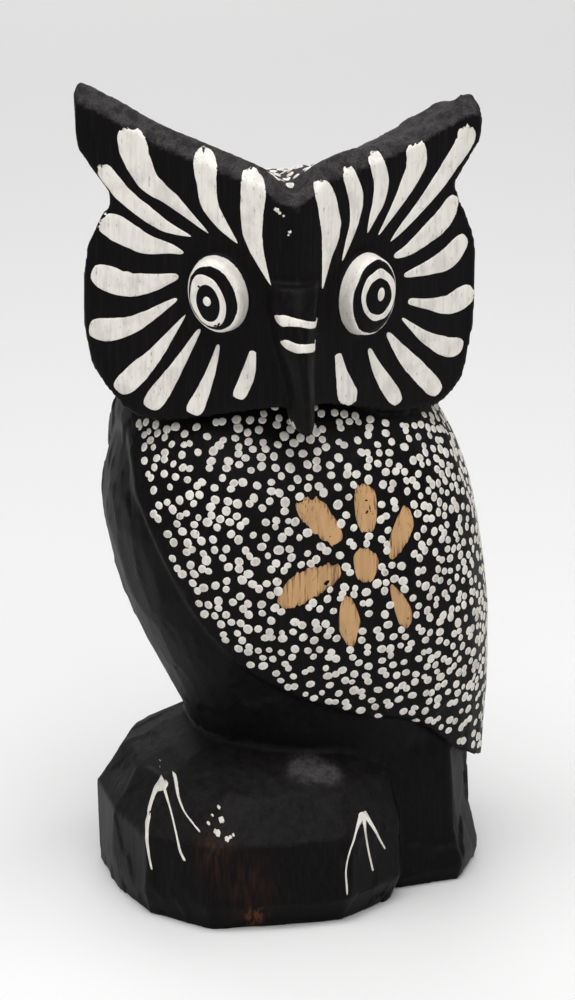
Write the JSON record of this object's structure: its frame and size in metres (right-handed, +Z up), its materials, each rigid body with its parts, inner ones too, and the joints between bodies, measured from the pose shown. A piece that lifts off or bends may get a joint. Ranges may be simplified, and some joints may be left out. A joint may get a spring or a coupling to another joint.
{
  "type": "carved wooden owl figurine",
  "caption": "Owl carved from a block of wood on its own stump, head turned over the shoulder, with raised eyes, hooked beak, pointed tufts and folded wings.",
  "frame": {"origin": "middle of the underside, on the surface that the figurine stands on", "axes": "+Z up, the face looks along -Y, the breast points along -X and the tail along +X"},
  "size_m": [0.1046, 0.095, 0.2056],
  "materials": {
    "black_stain": "black stain under a worn satin varnish",
    "white_paint": "thin brushed white paint",
    "bare_wood": "bare wood where the stain is rubbed off"
  },
  "bodies": {
    "root": {"owl": "black_stain"}
  },
  "joints": []
}
